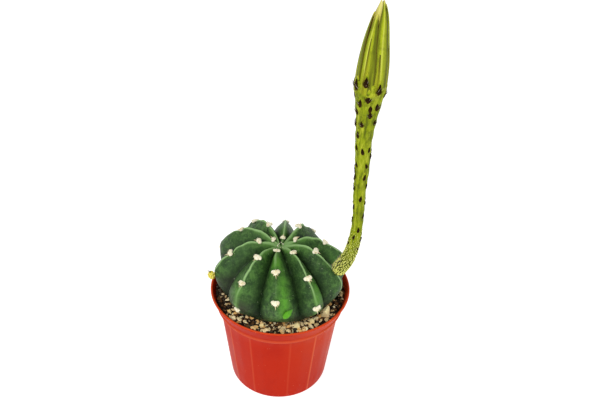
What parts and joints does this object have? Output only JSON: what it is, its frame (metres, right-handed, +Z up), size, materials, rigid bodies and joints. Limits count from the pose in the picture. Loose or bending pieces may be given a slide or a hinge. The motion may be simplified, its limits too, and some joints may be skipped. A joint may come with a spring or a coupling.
{
  "type": "potted round cactus",
  "caption": "Round ribbed cactus with woolly areoles and one long-tubed closed flower bud, in a thin tapered plastic nursery pot of gritty soil.",
  "frame": {"origin": "centre of the pot's underside, on the surface it stands on", "axes": "+Z up through the pot; -Y is the side that faces the viewer; the flower tube stands on the +X side"},
  "size_m": [0.1001, 0.09, 0.2707],
  "materials": {
    "pot_plastic": "smooth moulded red-orange plastic, slightly glossy",
    "gritty_soil": "dark, dry, gritty potting mix, matt",
    "cactus_skin": "dark green waxy plant skin with pale rib edges, semi-matt",
    "areole_wool": "cream white woolly felt, matt",
    "tube_skin": "yellow-green scaly and hairy flower tube, matt",
    "tepal_green": "lime green tepals with darker grooves, satin",
    "petal_cream": "cream yellow petals, satin",
    "style_pale": "pale yellow-green, satin",
    "bract_brown": "dry dark brown scale, matt",
    "young_bud_yellow": "yellow-green, matt",
    "shoot_green": "bright fresh green, satin",
    "pumice": "cream broken pumice, rough and matt"
  },
  "bodies": {
    "root": {"areole_00": "areole_wool", "areole_01": "areole_wool", "areole_02": "areole_wool", "areole_03": "areole_wool", "areole_04": "areole_wool", "areole_05": "areole_wool", "areole_06": "areole_wool", "areole_07": "areole_wool", "areole_08": "areole_wool", "areole_09": "areole_wool", "areole_10": "areole_wool", "areole_11": "areole_wool", "areole_12": "areole_wool", "areole_13": "areole_wool", "areole_14": "areole_wool", "areole_15": "areole_wool", "areole_16": "areole_wool", "areole_17": "areole_wool", "areole_18": "areole_wool", "areole_19": "areole_wool", "areole_20": "areole_wool", "areole_21": "areole_wool", "areole_22": "areole_wool", "areole_23": "areole_wool", "areole_24": "areole_wool", "areole_25": "areole_wool", "areole_26": "areole_wool", "bract_00": "bract_brown", "bract_01": "bract_brown", "bract_02": "bract_brown", "bract_03": "bract_brown", "cactus_body": "cactus_skin", "flower_tube": "tube_skin", "inner_petal_00": "petal_cream", "inner_petal_01": "petal_cream", "inner_petal_02": "petal_cream", "inner_petal_03": "petal_cream", "outer_tepal_00": "tepal_green", "outer_tepal_01": "tepal_green", "outer_tepal_02": "tepal_green", "outer_tepal_03": "tepal_green", "outer_tepal_04": "tepal_green", "outer_tepal_05": "tepal_green", "pot": "pot_plastic", "pumice_00": "pumice", "pumice_01": "pumice", "pumice_02": "pumice", "pumice_03": "pumice", "pumice_04": "pumice", "pumice_05": "pumice", "shoot": "shoot_green", "soil": "gritty_soil", "style": "style_pale", "young_bud": "young_bud_yellow"}
  },
  "joints": []
}
